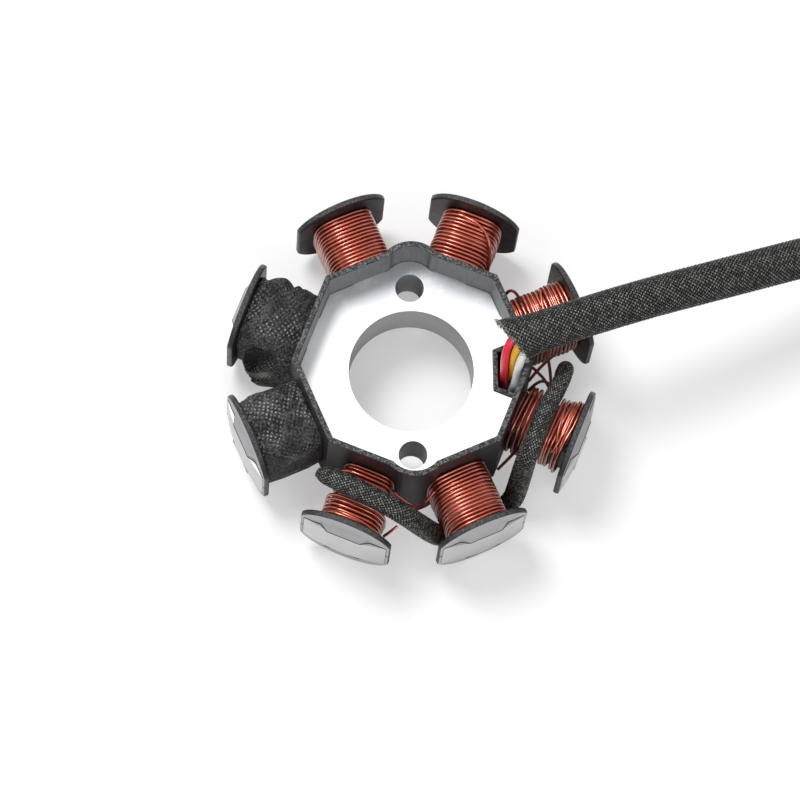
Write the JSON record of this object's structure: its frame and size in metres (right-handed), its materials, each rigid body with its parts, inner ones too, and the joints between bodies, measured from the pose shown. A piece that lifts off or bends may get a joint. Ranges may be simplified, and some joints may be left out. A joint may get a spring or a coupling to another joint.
{
  "type": "wound stator",
  "caption": "Wound generator stator: a laminated core with a thick hub and outward poles, moulded bobbins, copper coils, taped exciter coils, and a braided harness with its plug.",
  "frame": {"origin": "on the bore's axis, at the height that the rear ears stand on", "axes": "+Z along the bore towards the side with the lead chamber's mouth; +X through the lead chamber; the mounting holes on +Y and -Y"},
  "size_m": [0.2773, 0.1203, 0.0443],
  "materials": {
    "core_steel": "satin zinc-bright lamination steel",
    "moulding": "black glass-filled moulding, semi-gloss, speckled where handled",
    "copper_wire": "enamelled copper wire, varnished",
    "tape": "black embossed cloth tape",
    "braid": "black varnished braid with a diamond weave",
    "lead_red": "pink-red insulation",
    "lead_yellow": "yellow-orange insulation",
    "lead_white": "white insulation",
    "tie_plastic": "black nylon",
    "plug_plastic": "natural nylon",
    "terminal_metal": "tinned brass"
  },
  "bodies": {
    "root": {"core_stack": "core_steel", "front_bobbin": "moulding", "rear_bobbin": "moulding", "charging_coil_1": "copper_wire", "charging_coil_2": "copper_wire", "charging_coil_3": "copper_wire", "charging_coil_4": "copper_wire", "charging_coil_5": "copper_wire", "charging_coil_6": "copper_wire", "exciter_coil_1": "copper_wire", "exciter_coil_2": "copper_wire", "tape_wrap_1": "tape", "tape_wrap_2": "tape", "tape_bridge": "tape", "lead_sleeve": "braid", "lead_red": "lead_red", "lead_yellow": "lead_yellow", "lead_white": "lead_white", "link_wire_1": "copper_wire", "link_wire_2": "copper_wire", "link_wire_3": "copper_wire", "link_wire_4": "copper_wire", "wire_loop": "copper_wire", "wire_tail": "copper_wire", "harness": "braid", "harness_coil": "braid", "coil_tie": "tie_plastic", "plug_housing": "plug_plastic", "plug_terminals": "terminal_metal", "plug_lead_red": "lead_red", "plug_lead_yellow": "lead_yellow", "plug_lead_white": "lead_white"}
  },
  "joints": []
}
